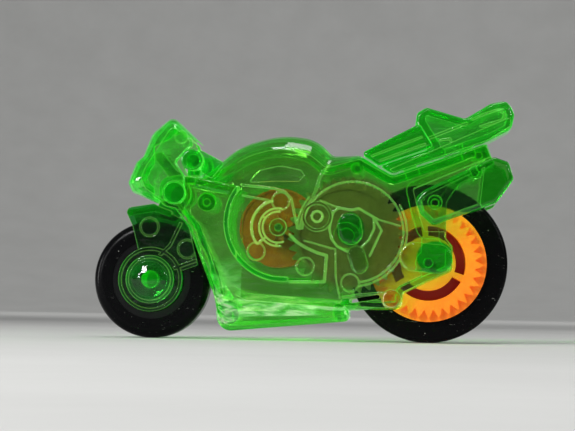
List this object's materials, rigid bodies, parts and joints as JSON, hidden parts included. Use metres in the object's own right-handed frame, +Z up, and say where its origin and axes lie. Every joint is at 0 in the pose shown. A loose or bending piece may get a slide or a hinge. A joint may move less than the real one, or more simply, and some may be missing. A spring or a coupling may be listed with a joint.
{
  "type": "pull back toy motorcycle",
  "caption": "Small clear green toy motorcycle with black tyres and a geared spring motor behind see-through side shells.",
  "frame": {"origin": "on the ground, under the middle of the bike's length and width", "axes": "+X forward along the bike, +Y to the rider's left, +Z up"},
  "size_m": [0.0679, 0.0192, 0.0392],
  "materials": {
    "green_clear": "clear fluorescent green moulding, polished",
    "tyre_black": "smooth black rubber",
    "black_plastic": "gloss",
    "orange_plastic": "satin",
    "white_plastic": "frosted",
    "red_plastic": "satin",
    "steel": "bright"
  },
  "bodies": {
    "chassis": {"left_body_shell": "green_clear", "right_body_shell": "green_clear", "front_fork": "green_clear", "fork_pin": "green_clear", "front_cowl": "green_clear", "handlebar": "green_clear", "seat": "green_clear", "tail_cowl": "green_clear", "left_silencer": "green_clear", "right_silencer": "green_clear", "front_axle": "green_clear", "front_axle_cap": "green_clear", "rear_axle": "steel", "drum_arbor": "steel"},
    "rear_wheel_set": {"rear_tyre": "tyre_black", "rear_wheel": "orange_plastic"},
    "front_wheel_set": {"front_tyre": "tyre_black", "front_rim": "black_plastic"},
    "reduction_gear": {"compound_gear": "white_plastic"},
    "spring_barrel": {"spring_drum": "red_plastic", "drum_lid": "red_plastic", "mainspring": "steel"}
  },
  "joints": [
    {"name": "rear_wheel_spin", "type": "hinge", "parent": "chassis", "child": "rear_wheel_set", "pos_m": [-0.0204, 0, 0.0128], "axis": [0, 1, 0], "continuous": true},
    {"name": "front_wheel_spin", "type": "hinge", "parent": "chassis", "child": "front_wheel_set", "pos_m": [0.0245, 0, 0.0095], "axis": [0, 1, 0], "continuous": true},
    {"name": "reduction_gear_spin", "type": "hinge", "parent": "chassis", "child": "reduction_gear", "pos_m": [-0.00729, 0, 0.01696], "axis": [0, 1, 0], "continuous": true},
    {"name": "spring_barrel_spin", "type": "hinge", "parent": "chassis", "child": "spring_barrel", "pos_m": [0.00365, 0, 0.01811], "axis": [0, 1, 0], "continuous": true}
  ],
  "couplings": [
    {"joint": "reduction_gear_spin", "follows": "rear_wheel_spin", "ratio": -1.5},
    {"joint": "spring_barrel_spin", "follows": "rear_wheel_spin", "ratio": 6.75}
  ]
}
